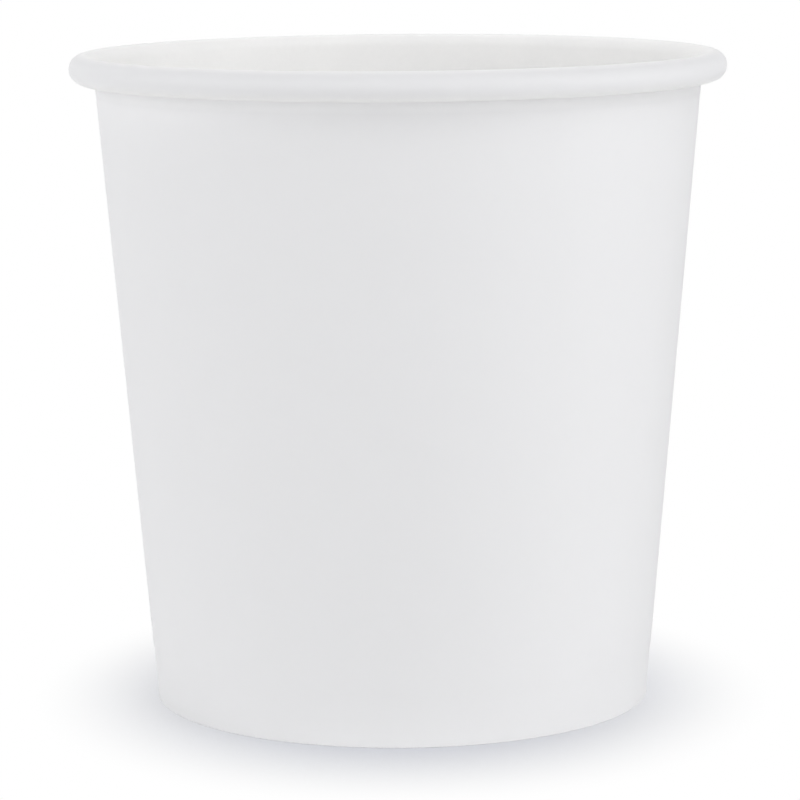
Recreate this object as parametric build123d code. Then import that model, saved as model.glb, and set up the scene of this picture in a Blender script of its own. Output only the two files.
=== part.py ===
from build123d import *
from math import asin, atan2, copysign, cos, degrees, hypot, radians, sin
import os

# Paper hot cup, in millimetres. One fan-shaped board is lapped into a cone, rolled
# over at the top and hemmed at the foot, where it grips a dished bottom board.
# The origin is the centre of the foot on the table and +Z is up. The front is at -Y,
# and the glued lap of the side wall is out of its sight, round to the left.

# The whole cup
rim_diameter = 62.0  # across the rolled lip
cup_height = 61.6  # from the table to the top of the lip
foot_diameter = 47.2  # across the wall's outer face where its slope meets the table

# Side wall
wall_board = 0.30  # thickness of the wall's board
lip_width = 2.58  # across the rolled lip's section
lip_height = 2.69  # from the lip's underside to its top
lip_tuck_gap = 0.03  # left beside the wall where the lip's tail curls back inside
lip_tail_turn = 140  # degrees that the tail turns inside the lip
hem_height = 3.9  # from the table to the cut edge of the turned-in hem
fold_radius = 0.09  # inside radius of the two bends that fold the hem
lap_width = 5.4  # of the glued lap, along the foot
lap_bearing = 160  # degrees round +Z from +X to the middle of the lap
lap_bed_share = 0.5  # share of the wall's thickness that the lap is bedded into

# Bottom
base_board = 0.30  # thickness of the bottom's board
base_recess = 4.6  # from the table to the underside of the bottom
skirt_bend_radius = 0.45  # inside radius where the bottom turns down into its skirt
seal_film = 0.03  # coating that seals each face of the skirt

# The lip's section winds through three arcs, given by their centreline radii. The
# throat leads off the wall, the crest goes over and under, and the tail tucks inside.
crest_radius = (lip_height - wall_board) / 2
throat_radius = lip_width - wall_board - crest_radius
tail_radius = throat_radius - wall_board - lip_tuck_gap
lip_centre_r = rim_diameter / 2 - wall_board / 2 - crest_radius
throat_centre_z = cup_height - wall_board / 2 - throat_radius

# The wall leans out so that its outer face runs from the foot to the throat's inner face.
rise_r = lip_centre_r - foot_diameter / 2
rise_angle = degrees(atan2(rise_r, throat_centre_z))
throat_inside = throat_radius - wall_board / 2
lean = rise_angle - degrees(asin(throat_inside / hypot(rise_r, throat_centre_z)))
up_wall = Vector(sin(radians(lean)), cos(radians(lean)))
into_cup = Vector(-up_wall.Y, up_wall.X)

# The wall's straight run ends at the throat and starts at the fold above the table.
fold_centreline = fold_radius + wall_board / 2
wall_top = Vector(lip_centre_r, throat_centre_z) + into_cup * throat_radius
wall_foot_z = wall_board / 2 + fold_centreline * (1 - up_wall.X)
wall_run = (wall_top.Y - wall_foot_z) / up_wall.Y
wall_foot = wall_top - up_wall * wall_run

# The hem runs parallel to the wall, with room for the skirt and its two films between.
skirt_room = base_board + 2 * seal_film
hem_offset = wall_board + skirt_room
foot_flat = (hem_offset - 2 * fold_centreline) / up_wall.Y
hem_foot = wall_foot + into_cup * (2 * fold_centreline) - Vector(foot_flat, 0)
hem_run = (hem_height - hem_foot.Y) / up_wall.Y
hem_top = hem_foot + up_wall * hem_run

# The skirt hangs in the middle of that room, just clear of the fold.
skirt_bend_centreline = skirt_bend_radius + base_board / 2
skirt_line_foot = wall_foot + into_cup * (hem_offset / 2)
skirt_foot_z = wall_board + fold_radius + seal_film
skirt_top_z = base_recess + base_board / 2 - skirt_bend_centreline * (1 + up_wall.X)
skirt_foot = skirt_line_foot + up_wall * ((skirt_foot_z - skirt_line_foot.Y) / up_wall.Y)
skirt_run = (skirt_top_z - skirt_foot_z) / up_wall.Y
skirt_top = skirt_foot + up_wall * skirt_run
base_flat_radius = skirt_top.X - skirt_bend_centreline * up_wall.Y


def run(length):
    """A straight stretch of board."""
    return lambda point, along, side: Line(point, point + along * length)


def bend(radius, turn):
    """A bend of the board about a centreline radius. A left turn is positive, in degrees."""
    return lambda point, along, side: JernArc(
        point, along, radius - copysign(side, side * turn), turn
    )


def board_section(start, ahead, moves, thickness):
    """Section of a board whose centreline leaves start along ahead and makes each move in turn."""
    left = Vector(-ahead.Y, ahead.X)
    faces = []
    for side in (thickness / 2, -thickness / 2):
        point, along = start + left * side, ahead
        edges = []
        for move in moves:
            edge = move(point, along, side)
            point, along = edge @ 1, edge % 1
            edges.append(edge)
        faces.append(edges)
    left_face, right_face = faces
    cut_edges = [
        Line(left_face[0] @ 0, right_face[0] @ 0),
        Line(left_face[-1] @ 1, right_face[-1] @ 1),
    ]
    return make_face([*left_face, *right_face, *cut_edges])


def side_wall():
    """The lapped board: hem, fold, wall and rolled lip in one section, and the lap's outer ply."""
    section = board_section(
        hem_top,
        up_wall * -1,
        [
            run(hem_run),
            bend(fold_centreline, 90 + lean),
            run(foot_flat),
            bend(fold_centreline, 90 - lean),
            run(wall_run),
            bend(throat_radius, lean - 90),
            bend(crest_radius, -180),
            bend(tail_radius, -lip_tail_turn),
        ],
        wall_board,
    )
    return revolve(Plane.XZ * section, Axis.Z) + outer_ply()


def outer_ply():
    """The lap's outer ply, from the fold up to the lip's tail, bedded a little into the wall."""
    bed = wall_board * lap_bed_share
    thickness = wall_board + bed
    offset = wall_board / 2 - bed + thickness / 2
    tail_centre_z = cup_height - lip_height + wall_board / 2 + tail_radius
    length = (tail_centre_z - wall_foot.Y) / up_wall.Y
    section = board_section(wall_foot - into_cup * offset, up_wall, [run(length)], thickness)
    lap_angle = degrees(lap_width / (foot_diameter / 2))
    ply = revolve(Plane.XZ * section, Axis.Z, revolution_arc=lap_angle)
    return Rot(Z=lap_bearing - lap_angle / 2) * ply


def bottom_disc():
    """The round bottom, turned down at its edge into a skirt that the hem grips."""
    section = board_section(
        skirt_foot,
        up_wall,
        [run(skirt_run), bend(skirt_bend_centreline, 90 + lean), run(base_flat_radius)],
        base_board,
    )
    return revolve(Plane.XZ * section, Axis.Z)


def main():
    os.makedirs("parts", exist_ok=True)
    for name, piece in {"side_wall": side_wall(), "bottom_disc": bottom_disc()}.items():
        export_step(piece, f"parts/{name}.step")
        print(name, "solids", len(piece.solids()), "volume", round(piece.volume, 1), "mm3")
    print("wall leans out", round(lean, 2), "degrees")


main()
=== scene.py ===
# %% [markdown]
# # A paper hot cup
# The cup is two pieces of white board. The side wall is lapped into a cone, rolled outwards at the
# top and folded under at the foot. The bottom is a disc whose turned-down edge is gripped by the
# fold. The imported model gives their true size and place, so it is loaded first.

# %% Load the frame
import bpy
import math
import numpy as np
from mathutils import Matrix, Vector


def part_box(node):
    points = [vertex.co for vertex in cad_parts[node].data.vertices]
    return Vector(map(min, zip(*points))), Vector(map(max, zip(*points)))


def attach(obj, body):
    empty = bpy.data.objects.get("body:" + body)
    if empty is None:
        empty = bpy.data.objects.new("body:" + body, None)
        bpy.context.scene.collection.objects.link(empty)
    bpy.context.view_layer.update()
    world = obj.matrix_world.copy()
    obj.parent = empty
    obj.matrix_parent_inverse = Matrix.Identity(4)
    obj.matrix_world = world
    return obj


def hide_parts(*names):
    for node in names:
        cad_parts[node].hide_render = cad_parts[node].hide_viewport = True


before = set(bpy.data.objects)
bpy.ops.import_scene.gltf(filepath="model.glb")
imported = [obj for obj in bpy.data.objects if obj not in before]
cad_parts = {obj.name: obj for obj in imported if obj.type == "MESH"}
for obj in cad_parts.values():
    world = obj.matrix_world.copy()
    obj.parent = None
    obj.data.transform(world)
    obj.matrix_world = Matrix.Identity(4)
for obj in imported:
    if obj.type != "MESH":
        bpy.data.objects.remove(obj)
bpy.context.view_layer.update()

# %% [markdown]
# ## The sizes of the cup
# The frame says how wide the rim is, how high the cup is and where the bottom hangs. The board is
# thinner than a box can show, so its thickness and the measures of the lip are named here. They
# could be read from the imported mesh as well, but a named size is easier to follow.

# %% Sizes
mm = 0.001
rim_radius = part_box("side_wall")[1].x
cup_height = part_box("side_wall")[1].z
inside_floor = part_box("bottom_disc")[1].z
skirt_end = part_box("bottom_disc")[0].z

board = 0.30 * mm
lip_width = 2.58 * mm
lip_height = 2.69 * mm
lip_tuck_gap = 0.03 * mm
foot_radius = 23.6 * mm
print("rim radius", round(rim_radius / mm, 2), "mm, height", round(cup_height / mm, 2), "mm")

# %% [markdown]
# ## How the wall leans
# The lip is three arcs in a row: the throat leads off the wall, the crest goes over and under, and
# the tail tucks inside. The wall starts where its outer face meets the table and touches the throat
# as a tangent, which gives its lean. The lean could be set by eye, but a lip that only nearly meets
# the wall shows a crease there, so the tangent is worked out exactly.

# %% Lean of the wall
crest_radius = (lip_height - board) / 2
throat_radius = lip_width - board - crest_radius
tail_radius = throat_radius - board - lip_tuck_gap
lip_centre_radius = rim_radius - board / 2 - crest_radius
throat_centre = np.array([lip_centre_radius, cup_height - board / 2 - throat_radius])

rise = throat_centre - np.array([foot_radius, 0])
lean = math.atan2(*rise) - math.asin((throat_radius - board / 2) / math.hypot(*rise))
up_wall = np.array([math.sin(lean), math.cos(lean)])
into_cup = np.array([-math.cos(lean), math.sin(lean)])
print("the wall leans out by", round(math.degrees(lean), 2), "degrees")

# %% [markdown]
# ## The board, seen edge on
# Cut through the cup, and the side wall is one thin strip: a hem, a fold, a straight wall and a
# rolled lip. A Screw modifier could spin a drawn curve, but then every point round the cup would be
# alike. Walking the strip as straight runs and bends also gives each point its normal, so both faces
# of the board, and the lap and the press marks in them, come from the same walk.

# %% Walk along a strip of board
def left_of(heading):
    """Unit vectors a quarter turn to the left of each heading: minus its sine, and its cosine."""
    return np.stack([-np.sin(heading), np.cos(heading)], axis=-1)


def walk(start, heading, moves):
    """Points, left-hand normals and stretch numbers of a strip, in the plane of radius and height.

    A move is (size, turn, steps). With no turn, size is a length, and a point is the last one plus
    a share of that length along the heading. With a turn, size is a radius, signed as the turn is.
    The strip swings about the centre that lies that radius to its left, so a point is the centre
    less the radius times the normal there.
    """
    point = np.array(start)
    points, normals, stretches = [point[None]], [left_of(np.array([heading]))], [[0]]
    for stretch, (size, turn, steps) in enumerate(moves):
        share = np.arange(1, steps + 1) / steps
        normal = left_of(heading + turn * share)
        if turn:
            radius = math.copysign(size, turn)
            path = point + radius * left_of(heading) - radius * normal
        else:
            path = point + np.outer(size * share, [math.cos(heading), math.sin(heading)])
        point, heading = path[-1], heading + turn
        points.append(path)
        normals.append(normal)
        stretches.append([stretch] * steps)
    return np.concatenate(points), np.concatenate(normals), np.concatenate(stretches)


# %% [markdown]
# ## A section carried round the axis
# Each round piece is a table of points, with a row for each angle and a column for each point of its
# section. Joining every point to its neighbours in the table makes the faces. A loop over the points
# could do it too, but whole arrays do it at once, and a finish can then be given to a whole column,
# such as a cut edge.

# %% Carry a section round
def carry_round(section, angles):
    """Points (radius * cos, radius * sin, height) of section[angle, point] = (radius, height)."""
    radius, height = section[..., 0], section[..., 1]
    turn = angles[:, None]
    return np.stack([radius * np.cos(turn), radius * np.sin(turn), height], axis=-1)


# %% Turn a table of points into a mesh
crease_angle = math.radians(35)


def turned_piece(name, rings, finishes, finish_of_column, poles=None):
    """Object made of a section carried round the axis: rings[i, j] is point j of it at angle i.

    Each face joins points j and j + 1 of the section at two neighbouring angles. A closed section
    goes on from its last point to its first. With poles, the section is open, and a fan of
    triangles closes each end of it at a point on the axis.
    """
    around, along = rings.shape[:2]
    here = np.arange(around * along).reshape(around, along)
    beside = np.roll(here, -1, axis=0)
    corners = [here, beside, np.roll(beside, -1, axis=1), np.roll(here, -1, axis=1)]
    quads = np.stack(corners, axis=-1)
    points, columns = rings.reshape(-1, 3), np.asarray(finish_of_column)
    if poles is None:
        faces, finish = quads.reshape(-1, 4).tolist(), np.tile(columns, around)
    else:
        first, last = np.full(around, len(points)), np.full(around, len(points) + 1)
        faces = quads[:, :-1].reshape(-1, 4).tolist()
        faces += np.stack([first, beside[:, 0], here[:, 0]], axis=-1).tolist()
        faces += np.stack([here[:, -1], beside[:, -1], last], axis=-1).tolist()
        fans = np.repeat(columns[[0, -2]], around)
        finish = np.concatenate([np.tile(columns[:-1], around), fans])
        points = np.concatenate([points, poles])
    mesh = bpy.data.meshes.new(name)
    mesh.from_pydata(points.tolist(), [], faces)
    for material in finishes:
        mesh.materials.append(material)
    mesh.polygons.foreach_set("material_index", finish.astype(np.int32))
    mesh.shade_smooth()
    mesh.set_sharp_from_angle(angle=crease_angle)
    piece = bpy.data.objects.new(name, mesh)
    bpy.context.scene.collection.objects.link(piece)
    print(name, len(mesh.vertices), "points,", len(mesh.polygons), "faces")
    return piece


# %% [markdown]
# ## Sums for the finishes
# A finish is a graph of nodes, and a long graph is hard to read as a list of links. This class holds
# one socket, so that a sum such as 0.6 + 0.1 * fibre can be written as a sum, and each sign adds its
# Math node. Every other node comes from one method.

# %% Sockets that can be added and multiplied
class Shade:
    """One output socket of a node tree. A sum or product of it adds a Math node to that tree."""

    def __init__(self, socket):
        self.socket = socket

    @staticmethod
    def node(tree, kind, settings=None, inputs=None, output=0):
        """Adds a node, makes its settings, then fills or links its inputs. Gives one output."""
        made = tree.nodes.new(kind)
        for name, value in (settings or {}).items():
            setattr(made, name, value)
        for key, value in (inputs or {}).items():
            if isinstance(value, Shade):
                tree.links.new(value.socket, made.inputs[key])
            else:
                made.inputs[key].default_value = value
        return Shade(made.outputs[output]) if made.outputs else None

    def combine(self, operation, left, right):
        """Adds a Math node that works on left and right, each a number or a socket."""
        tree = self.socket.id_data
        return Shade.node(tree, "ShaderNodeMath", {"operation": operation}, {0: left, 1: right})

    def __add__(self, other):
        return self.combine("ADD", self, other)

    def __sub__(self, other):
        return self.combine("SUBTRACT", self, other)

    def __rsub__(self, other):
        return self.combine("SUBTRACT", other, self)

    def __mul__(self, other):
        return self.combine("MULTIPLY", self, other)

    __radd__, __rmul__ = __add__, __mul__


def empty_tree(owner):
    """Node tree of a material or a world, with nothing in it."""
    owner.use_nodes = True
    owner.node_tree.nodes.clear()
    return owner.node_tree


# %% [markdown]
# ## White board and its coating
# Cup board is bleached pulp. Its outside is bare and matte, with a faint cloudiness where the fibres
# lie thicker. Just under the lip a band of it is painted whiter, as painted light in the shade of the
# crease there. Its inside has a clear coat over a whiter ply, and that white is set whiter than
# coated board is, as painted light in the cup. From the throat over the lip's outer side the coat is
# painted greyer, as painted shade on the lip. A cut edge shows the raw, greyer core. A scanned
# texture could give this, but two scales of noise in the cup's own coordinates do too, and they have
# no seam.
# The mesh says how much of the lip's painted shade and the crease's painted light each point takes,
# so those tones follow the board round the lip.

# %% How a board is finished
cloud_scale = 0.16 / mm
fibre_scale = 2.4 / mm
least_density, cloud_share, fibre_share = 0.45, 0.35, 0.25
cloud_lift = 0.5
roughness_spread = 0.16
# Painted light: the whiter tone of the band under the lip, where the crease is in shade.
crease_light_white = (0.955, 0.955, 0.958, 1)


def blend(tree, share, first, second):
    """Colour that goes from first to second as share goes from 0 to 1.

    A Mix node has sockets for every kind of data. Its colours are inputs 6 and 7 and output 2.
    """
    inputs = {0: share, 6: first, 7: second}
    return Shade.node(tree, "ShaderNodeMix", {"data_type": "RGBA"}, inputs, output=2)


def board_finish(name, white, grey, roughness, grain_depth, gloss):
    """Board that is white where it is dense, and goes over to thin as its density falls.

    The whiteness is a least value plus shares of the clouds and of the fibres, all times what the
    lip's painted shade leaves. Where the crease's painted light is noted, its white takes over. The
    fibres and, less, the clouds raise the bump, and the fibres spread the roughness evenly about its
    value.
    """
    material = bpy.data.materials.new(name)
    tree = empty_tree(material)
    place = Shade.node(tree, "ShaderNodeTexCoord", output="Object")
    lip_shade = Shade.node(tree, "ShaderNodeAttribute", {"attribute_name": "lip_shade"}, output="Fac")
    crease_light = Shade.node(tree, "ShaderNodeAttribute", {"attribute_name": "crease_light"}, output="Fac")
    cloud_inputs = {"Vector": place, "Scale": cloud_scale, "Detail": 3.0, "Roughness": 0.55}
    cloud = Shade.node(tree, "ShaderNodeTexNoise", inputs=cloud_inputs)
    fibre_inputs = {"Vector": place, "Scale": fibre_scale, "Detail": 4.0, "Roughness": 0.6}
    fibre_inputs["Distortion"] = 0.8
    fibre = Shade.node(tree, "ShaderNodeTexNoise", inputs=fibre_inputs)
    # Painted shade: the lip's note takes the whiteness down to the grey end.
    whiteness = (least_density + cloud_share * cloud + fibre_share * fibre) * (1 - lip_shade)
    plain = blend(tree, whiteness, grey, white)
    bump = fibre + cloud_lift * cloud
    grain_inputs = {"Strength": 1.0, "Distance": grain_depth, "Height": bump}
    # Painted light: where the crease's note is set, its whiter tone is blended in.
    surface_inputs = {
        "Base Color": blend(tree, crease_light, plain, crease_light_white),
        "Roughness": roughness - roughness_spread / 2 + roughness_spread * fibre,
        "Specular IOR Level": gloss,
        "Normal": Shade.node(tree, "ShaderNodeBump", inputs=grain_inputs),
    }
    surface = Shade.node(tree, "ShaderNodeBsdfPrincipled", inputs=surface_inputs)
    Shade.node(tree, "ShaderNodeOutputMaterial", inputs={"Surface": surface})
    return material


# %% Three finishes of the board
bare_white, bare_thin = (0.830, 0.831, 0.836, 1), (0.800, 0.801, 0.806, 1)
# The coat's white is set whiter than coated board is, as painted light in the cup. Its grey end is
# also the lip's painted shade.
coat_white_with_painted_light, coat_grey_and_lip_shade = (0.985, 0.981, 0.965, 1), (0.806, 0.807, 0.814, 1)
core_white, core_thin = (0.80, 0.79, 0.76, 1), (0.70, 0.69, 0.66, 1)
bare_board = board_finish(
    "bare_board", bare_white, bare_thin, roughness=0.72, grain_depth=0.006 * mm, gloss=0.20
)
coated_board = board_finish(
    "coated_board", coat_white_with_painted_light, coat_grey_and_lip_shade, roughness=0.50, grain_depth=0.003 * mm, gloss=0.20
)
raw_edge = board_finish(
    "raw_edge", core_white, core_thin, roughness=0.85, grain_depth=0.012 * mm, gloss=0.15
)
board_finishes = [bare_board, coated_board, raw_edge]
BARE, COATED, RAW = range(len(board_finishes))
print("finishes", [material.name for material in board_finishes])

# %% [markdown]
# ## The strip of the side wall
# The wall's board runs from the hem's cut edge down, round the fold, up the wall and over the lip to
# its tail. A Solidify modifier could thicken one walk, but the two faces need different detail. So
# the section is walked once for each face, with more steps where that face shows. On the outer face
# that is the wall and the hem, which faces the recess under the cup. On the drink face it is the
# inside and the top of the lip, because the roll turns that face outwards.

# %% Lengths of the side wall
hem_height = 3.9 * mm
fold_radius = 0.09 * mm
seal_film = 0.03 * mm
fold_line = fold_radius + board / 2
wall_top = throat_centre + into_cup * throat_radius
wall_foot_height = board / 2 + fold_line * (1 - up_wall[0])
wall_run = (wall_top[1] - wall_foot_height) / up_wall[1]
wall_foot = wall_top - up_wall * wall_run

hem_offset = 2 * board + 2 * seal_film
foot_flat = (hem_offset - 2 * fold_line) / up_wall[1]
hem_foot = wall_foot + into_cup * (2 * fold_line) - np.array([foot_flat, 0])
hem_run = (hem_height - hem_foot[1]) / up_wall[1]
print("straight runs: wall", round(wall_run / mm, 2), "mm, hem", round(hem_run / mm, 2), "mm")

# %% Section of the side wall
quarter = math.pi / 2
lip_tail_turn = math.radians(140)
band_past_bottom = 2 * mm
band_run = inside_floor + band_past_bottom
neck_run = 2 * lip_height
HEM, FOLD_IN, FLAT, FOLD_OUT, BAND, PLAIN, NECK, THROAT, CREST, TAIL = range(10)


def wall_strip(hem, fold, band, plain, neck, throat, crest, tail):
    """Centreline of the wall's board from the hem's cut edge to the lip's tail.

    Each argument is the number of steps in the stretch that it is named for, and fold in each fold.
    """
    return walk(hem_foot + up_wall * hem_run, -quarter - lean, [
        (hem_run, 0, hem),
        (fold_line, quarter + lean, fold),
        (foot_flat, 0, 1),
        (fold_line, quarter - lean, fold),
        (band_run, 0, band),
        (wall_run - band_run - neck_run, 0, plain),
        (neck_run, 0, neck),
        (throat_radius, lean - quarter, throat),
        (crest_radius, -2 * quarter, crest),
        (tail_radius, -lip_tail_turn, tail),
    ])


outer_line, outer_left, outer_stretch = wall_strip(
    hem=9, fold=9, band=14, plain=14, neck=10, throat=4, crest=9, tail=7
)
drink_line, drink_left, drink_stretch = wall_strip(
    hem=2, fold=2, band=6, plain=14, neck=5, throat=10, crest=26, tail=7
)
outer_face = outer_line - outer_left * board / 2
drink_face = drink_line + drink_left * board / 2
print("section of the wall:", len(outer_face), "points outside and", len(drink_face), "inside")

# %% [markdown]
# ## The glued lap
# The blank is wrapped until one edge lies on the other. Outside, the upper ply ends in a cut edge,
# one board high. Inside, the lower ply ends the same way, and past that edge the upper ply comes
# back down to the wall in a soft ramp. The two plies could be two meshes, but they would meet in a
# hidden double wall. Moving the two faces of one closed wall gives the same look, and it stays one
# clean shell.

# %% Heights of the lap round the cup
lap_width = 5.4 * mm
lap_bearing = math.radians(160)
ramp_width = 3.2 * mm
cut_width = 0.02 * mm
free_edge = lap_bearing - lap_width / foot_radius / 2
inner_edge = lap_bearing + lap_width / foot_radius / 2
ramp_turn = ramp_width / foot_radius
cut_turn = cut_width / foot_radius


def ease(share):
    """Smooth rise from 0 to 1 with share: 3 s squared less 2 s cubed, and level outside 0 to 1."""
    share = np.clip(share, 0, 1)
    return share * share * (3 - 2 * share)


def lap_height(angle, cut_edge):
    """Nothing up to the cut edge, then one board, easing to nothing over the ramp past the lap."""
    past_cut = np.clip((angle - cut_edge) / cut_turn, 0, 1)
    return board * past_cut * (1 - ease((angle - inner_edge) / ramp_turn))


even_count = 480
ramp_steps = 10
evenly = np.arange(even_count) * (4 * quarter / even_count)
at_cuts = np.array([free_edge, free_edge + cut_turn, inner_edge, inner_edge + cut_turn])
on_ramp = inner_edge + ramp_turn * np.linspace(0, 1, ramp_steps + 1)[1:]
angles = np.unique(np.concatenate([evenly, at_cuts, on_ramp]))
lap_outside = lap_height(angles, free_edge)
lap_inside = lap_height(angles, inner_edge)
lap_degrees = [round(math.degrees(edge), 1) for edge in (free_edge, inner_edge)]
print("lap from", lap_degrees[0], "to", lap_degrees[1], "degrees")

# %% [markdown]
# ## Press marks
# A heated tool presses the foot, so its outer corner is nearly square and the wall is a hair narrower
# below the bottom. A ribbed wheel rolls the hem against the skirt, which leaves a ring of small
# grooves in the recess. Towards the lip, the lap's inner step is ironed away. Bump alone could draw
# such marks, but then they would vanish from the mesh, so each is a small move of a face along its
# normal.

# %% Where the lap lifts the outer face
lap_rise = 3 * board
on_wall = (outer_stretch >= BAND) & (outer_stretch <= NECK)
lap_fade = ease((outer_face[:, 1] - wall_foot_height) / lap_rise)
throat_fade = 1 - ease((outer_face[:, 1] - wall_top[1]) / throat_radius)


def tail_tuck(stretch):
    """Share of the lap's height that the lip's tail moves in by, to stand off the doubled wall.

    It eases from nothing to all of it over the first half of the tail.
    """
    tail = stretch == TAIL
    return np.where(tail, ease(2 * np.cumsum(tail) / tail.sum()), 0)


in_throat = (outer_stretch == THROAT) * throat_fade
outer_lap = on_wall * lap_fade + in_throat + tail_tuck(outer_stretch)
print("the lap lifts", np.count_nonzero(outer_lap), "of", len(outer_lap), "points of the outer face")

# %% Where the foot is pressed
# The band reaches from the fold up to the bottom, and eases out over its edge, half of it below the
# bottom's upper side and half above.
band_depth = 0.06 * mm
band_edge = 5 * board
past_bottom = (outer_face[:, 1] - inside_floor) / band_edge
in_band = on_wall * lap_fade * (1 - ease(past_bottom + 0.5))

# On the outer fold, a point moves out by the fold's radius times 1 / cosine - 1, where the cosine is
# that of its angle to the nearer flat. That is the way to the square corner that both flats make.
least_cosine = 0.5
nearer_flat = np.maximum(outer_left[:, 1], outer_left @ into_cup)
corner_reach = (fold_line + board / 2) * (1 / np.clip(nearer_flat, least_cosine, 1) - 1)
in_corner = (outer_stretch == FOLD_OUT) * corner_reach
print("the foot's corner is pressed out by", round(in_corner.max() / mm, 3), "mm at most")

# %% Grooves in the hem
# The ring of grooves is placed in shares of the hem's height, and fades at both sides. Round the cup
# the depth goes as the square of half of one plus a cosine, so the ribs between are broad.
groove_depth = 0.07 * mm
groove_count = 80
ring_middle, ring_half, ring_fade = 0.52, 0.3, 0.1
from_middle = np.abs(outer_face[:, 1] / hem_height - ring_middle)
in_ring = (outer_stretch == HEM) * (1 - ease((from_middle - ring_half) / ring_fade))
grooves = (0.5 + 0.5 * np.cos(groove_count * angles)) ** 2
print(groove_count, "grooves,", round(groove_depth / mm, 2), "mm deep")

# %% Moves of the two faces
outer_moves = (
    np.outer(lap_outside, outer_lap)
    + in_corner
    - band_depth * in_band
    - np.outer(groove_depth * grooves, in_ring)
)
below_neck = ease((wall_top[1] - drink_face[:, 1]) / neck_run)
drink_lap = below_neck * (drink_stretch >= BAND) * (drink_stretch <= NECK)
drink_tuck = tail_tuck(drink_stretch)
drink_moves = np.outer(lap_inside, drink_lap) + np.outer(lap_outside, drink_tuck)
print("outer face moves", np.round([outer_moves.min() / mm, outer_moves.max() / mm], 3), "mm")

# %% [markdown]
# ## The side wall
# The outer face is followed from the hem to the lip's tail and the drink face back again, which
# closes the section with a cut edge at each end. Each face moves away from the cup's inside by its
# own moves. The two faces could be two sheets, but one closed section needs no joining.

# %% Make the side wall
wall_section = np.concatenate(
    [
        outer_face - outer_moves[..., None] * outer_left,
        (drink_face - drink_moves[..., None] * drink_left)[:, ::-1],
    ],
    axis=1,
)
wall_finish = np.repeat([BARE, COATED], [len(outer_face), len(drink_face)])
wall_finish[[len(outer_face) - 1, -1]] = RAW
wall_rings = carry_round(wall_section, angles)
wall_piece = turned_piece("wall_of_cup", wall_rings, board_finishes, wall_finish)
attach(wall_piece, "root")
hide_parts("side_wall")

# %% [markdown]
# ## Painted shade on the lip, painted light under it
# From the throat on, the coat is painted greyer as painted shade. The lip's outer side has all of it,
# and under the lip the coat has its white back. The bare board is painted whiter in a band a few
# boards high just under the lip, as painted light in the crease's shade. A painted map could say so,
# but the section already knows where each point lies, so two shares are worked out from it and kept
# on the mesh, where the finishes read them.

# %% Note where the wall takes the lip's painted shade and the crease's painted light
def note_on_wall(name, outer_share, drink_share):
    """Keeps a share for each point of the wall's section on the mesh, the same at every angle."""
    shares = np.tile(np.concatenate([outer_share, drink_share[::-1]]), len(angles))
    wall_piece.data.attributes.new(name, "FLOAT", "POINT").data.foreach_set("value", shares)


# Painted shade on the lip: it eases in over the throat and out again under the lip.
shade_in_start, shade_in_span = 0.17, 0.3
shade_out_start, shade_out_span = 0.68, 0.28
turning = (drink_stretch == THROAT) | (drink_stretch == CREST)
turned = np.cumsum(turning) / turning.sum()
lip_shade_in = ease((turned - shade_in_start) / shade_in_span)
lip_shade_out = ease((turned - shade_out_start) / shade_out_span)
drink_lip_shade = lip_shade_in * (1 - lip_shade_out)
note_on_wall("lip_shade", np.zeros(len(outer_face)), drink_lip_shade)

# Painted light in a band just under the lip, where its crease is in shade.
crease_light_height = 4 * board
above_lip_foot = outer_face[:, 1] - (cup_height - lip_height)
outer_crease_light = on_wall * ease(1 + above_lip_foot / crease_light_height)
note_on_wall("crease_light", outer_crease_light, np.zeros(len(drink_face)))
print("most rolled", round(drink_lip_shade.max(), 2), "and most ironed", round(outer_crease_light.max(), 2))

# %% [markdown]
# ## The bottom
# The bottom is pressed from a flat blank, so it is level but not quite flat: steam and drying leave
# it dished by a fraction of a millimetre. A flat cylinder would look much the same from above, but it
# has no skirt for the hem to grip. So the board is walked from the axis to the end of its skirt,
# once for each face, and closed on the axis at both ends. It takes neither the lip's painted shade
# nor the crease's painted light, so it has no notes, and its finishes read 0 for both.

# %% Section of the bottom
skirt_bend_radius = 0.45 * mm
skirt_bend_line = skirt_bend_radius + board / 2
skirt_line_foot = wall_foot + into_cup * (hem_offset / 2)
skirt_foot_height = skirt_end + board * up_wall[0] / 2
skirt_foot = skirt_line_foot + up_wall * ((skirt_foot_height - skirt_line_foot[1]) / up_wall[1])
skirt_top_height = inside_floor - board / 2 - skirt_bend_line * (1 + up_wall[0])
skirt_run = (skirt_top_height - skirt_foot[1]) / up_wall[1]
skirt_top = skirt_foot + up_wall * skirt_run
flat_radius = skirt_top[0] - skirt_bend_line * up_wall[1]


def bottom_strip(flat, bend, skirt):
    """Centreline of the bottom's board from the axis to the skirt's cut edge.

    Each argument is the number of steps in the stretch that it is named for.
    """
    return walk([0, inside_floor - board / 2], 0, [
        (flat_radius, 0, flat),
        (skirt_bend_line, -quarter - lean, bend),
        (skirt_run, 0, skirt),
    ])


bottom_line, bottom_left, _ = bottom_strip(flat=14, bend=8, skirt=3)
print("bottom: flat to", round(flat_radius / mm, 2), "mm, skirt", round(skirt_run / mm, 2), "mm")

# %% Make the bottom
dish_depth = 0.15 * mm


def dished(face):
    """The face lowered by the dish depth on the axis, and by less as the radius squared grows."""
    sag = dish_depth * np.clip(1 - (face[:, 0] / flat_radius) ** 2, 0, 1)
    return face - np.stack([np.zeros_like(sag), sag], axis=-1)


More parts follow.
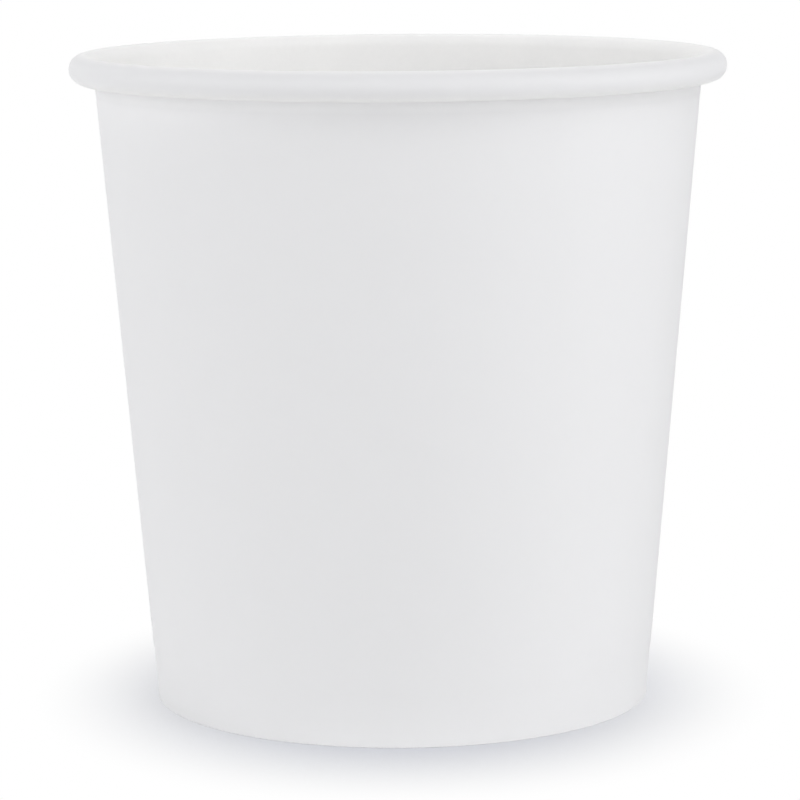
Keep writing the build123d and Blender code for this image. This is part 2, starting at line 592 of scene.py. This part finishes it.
underside = dished(bottom_line - bottom_left * board / 2)
upper_side = dished(bottom_line + bottom_left * board / 2)[::-1]
bottom_section = np.concatenate([underside[1:], upper_side[:-1]])
bottom_poles = [[0, 0, underside[0, 1]], [0, 0, upper_side[-1, 1]]]
bottom_finish = np.repeat([BARE, COATED], len(underside) - 1)
bottom_finish[len(underside) - 2] = RAW
bottom_angles = evenly[::2]
all_round = np.broadcast_to(bottom_section, (len(bottom_angles), *bottom_section.shape))
bottom_rings = carry_round(all_round, bottom_angles)
bottom_piece = turned_piece(
    "bottom_of_cup", bottom_rings, board_finishes, bottom_finish, bottom_poles
)
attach(bottom_piece, "root")
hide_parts("bottom_disc")

# %% [markdown]
# ## Table
# The cup stands on a plain white sweep. Light finds an ordinary matte white there, which throws it
# back up on the wall and under the lip. A camera, a gloss or a glass sees a cool shade close to the
# foot, where it takes the contact shadow, and that shade fades into plain white a little further
# out. A strong light on the floor could make it white too, but it would fall on the cup as well. The
# pool of shade is an oval, longer from front to back than from side to side.

# %% Floor and its finish
floor_half = 4.0
floor_white = (0.93, 0.93, 0.93, 1)
floor_shade = (0.423, 0.443, 0.512, 1)
pool_squeeze = (1.22, 1, 1)
pool_start, pool_end = 8.6 * mm, 44.2 * mm


def seen_by_eye(tree):
    """1 on camera, glossy and transmission rays, and 0 on the rays that carry light about."""
    kinds = ["Is Camera Ray", "Is Glossy Ray", "Is Transmission Ray"]
    rays = [Shade.node(tree, "ShaderNodeLightPath", output=kind) for kind in kinds]
    return rays[0] + rays[1] + rays[2]


def sweep_finish():
    """Matte white to light, and to the eye a shade that fades to plain white between two ovals.

    The fade goes by the distance from the axis, with the side to side part of it made longer.
    """
    material = bpy.data.materials.new("white_sweep")
    tree = empty_tree(material)
    place = Shade.node(tree, "ShaderNodeTexCoord", output="Object")
    oval_inputs = {0: place, 1: pool_squeeze}
    oval = Shade.node(tree, "ShaderNodeVectorMath", {"operation": "MULTIPLY"}, oval_inputs)
    length = {"operation": "LENGTH"}
    distance = Shade.node(tree, "ShaderNodeVectorMath", length, {0: oval}, output="Value")
    fade_inputs = {"Value": distance, "From Min": pool_start, "From Max": pool_end}
    smooth = {"interpolation_type": "SMOOTHSTEP"}
    fade = Shade.node(tree, "ShaderNodeMapRange", smooth, fade_inputs)
    shade = Shade.node(tree, "ShaderNodeBsdfDiffuse", inputs={"Color": floor_shade})
    plain = Shade.node(tree, "ShaderNodeEmission", inputs={"Strength": 1.0})
    seen = Shade.node(tree, "ShaderNodeMixShader", inputs={0: fade, 1: shade, 2: plain})
    matte = Shade.node(tree, "ShaderNodeBsdfDiffuse", inputs={"Color": floor_white})
    either_inputs = {0: seen_by_eye(tree), 1: matte, 2: seen}
    either = Shade.node(tree, "ShaderNodeMixShader", inputs=either_inputs)
    Shade.node(tree, "ShaderNodeOutputMaterial", inputs={"Surface": either})
    return material


floor_mesh = bpy.data.meshes.new("sweep")
floor_corners = floor_half * np.array([[-1, -1, 0], [1, -1, 0], [1, 1, 0], [-1, 1, 0]])
floor_mesh.from_pydata(floor_corners.tolist(), [], [[0, 1, 2, 3]])
floor_mesh.materials.append(sweep_finish())
floor = bpy.data.objects.new("sweep", floor_mesh)
bpy.context.scene.collection.objects.link(floor)
print("floor", 2 * floor_half, "m square")

# %% [markdown]
# ## Studio light
# Seven soft boxes stand round the table, each 0.8 to 1 m wide, so the shading runs smoothly round
# the wall. The three towards the right together outdo the strong one on the left, which leaves the
# darkest band left of the middle. A small card stands low behind the cup, so that its back isn't
# left grey. A world light alone would be less work, but it can't be stronger on one side, so it is
# only a weak fill here. The lamps are hidden from the camera.

# %% Soft boxes
aim = Vector((0, 0, cup_height / 2))
daylight = (0.99, 0.99, 1.0)
soft_boxes = {
    "box_above_back": {"place": (0.0, 0.9, 1.1), "width": 0.9, "watts": 4.3},
    "box_above_front": {"place": (0.65, -0.65, 1.15), "width": 0.9, "watts": 5.6},
    "box_front": {"place": (0.0, -1.4, 0.5), "width": 0.8, "watts": 3.3},
    "box_right_front": {"place": (0.9, -1.0, 0.6), "width": 0.8, "watts": 2.8},
    "box_right": {"place": (1.2, -0.3, 0.5), "width": 1.0, "watts": 4.8},
    "box_left": {"place": (-1.2, -0.3, 0.5), "width": 1.0, "watts": 8.4},
    "box_left_back": {"place": (-1.0, 0.8, 0.6), "width": 0.9, "watts": 2.1},
    "card_back": {"place": (0.03, 0.26, 0.03), "width": 0.06, "watts": 0.12},
}


def soft_box(name, place, width, watts):
    """Square lamp of that width at place, turned to face the middle of the cup."""
    lamp = bpy.data.lights.new(name, "AREA")
    lamp.size, lamp.energy, lamp.color = width, watts, daylight
    box = bpy.data.objects.new(name, lamp)
    to_cup = (aim - Vector(place)).to_track_quat("-Z", "Y").to_matrix().to_4x4()
    box.matrix_world = Matrix.Translation(place) @ to_cup
    box.visible_camera = False
    bpy.context.scene.collection.objects.link(box)


for name, values in soft_boxes.items():
    soft_box(name, **values)
print("lamps", [lamp.name for lamp in bpy.data.lights])

# %% Room light
room_strength = 0.14


def room_light():
    """World that lights the cup weakly, and is white where a camera, a gloss or a glass sees it."""
    world = bpy.data.worlds.new("room")
    tree = empty_tree(world)
    strength = room_strength + (1 - room_strength) * seen_by_eye(tree)
    inputs = {"Color": (1, 1, 1, 1), "Strength": strength}
    background = Shade.node(tree, "ShaderNodeBackground", inputs=inputs)
    Shade.node(tree, "ShaderNodeOutputWorld", inputs={"Surface": background})
    return world


bpy.context.scene.world = room_light()
print("room light", room_strength)

# %% [markdown]
# ## Camera
# The photograph's ellipses give the camera: its height above the table, its distance, how far it
# looks down and how long its lens is. It was held a touch askew, so the cup's top leans left by about
# half a degree. It could be turned until the picture looks right, but then the lens and the distance
# are easily mixed up, so the solved values are set.

# %% Place the camera
image_width = 800
focal_pixels = 3613
camera_distance = 342.1 * mm
camera_height = 81.7 * mm
camera_side = -0.04 * mm
look_down = 0.1550
askew = -0.0076

lens = bpy.data.cameras.new("camera")
lens.sensor_width = 36
lens.lens = focal_pixels / image_width * lens.sensor_width
camera = bpy.data.objects.new("camera", lens)
stand = Matrix.Translation((camera_side, -camera_distance, camera_height))
tilt = Matrix.Rotation(quarter - look_down, 4, "X")
camera.matrix_world = stand @ tilt @ Matrix.Rotation(askew, 4, "Z")
bpy.context.scene.collection.objects.link(camera)
bpy.context.scene.camera = camera
bpy.context.scene.view_settings.view_transform = "Standard"
print("lens", round(lens.lens, 1), "mm")
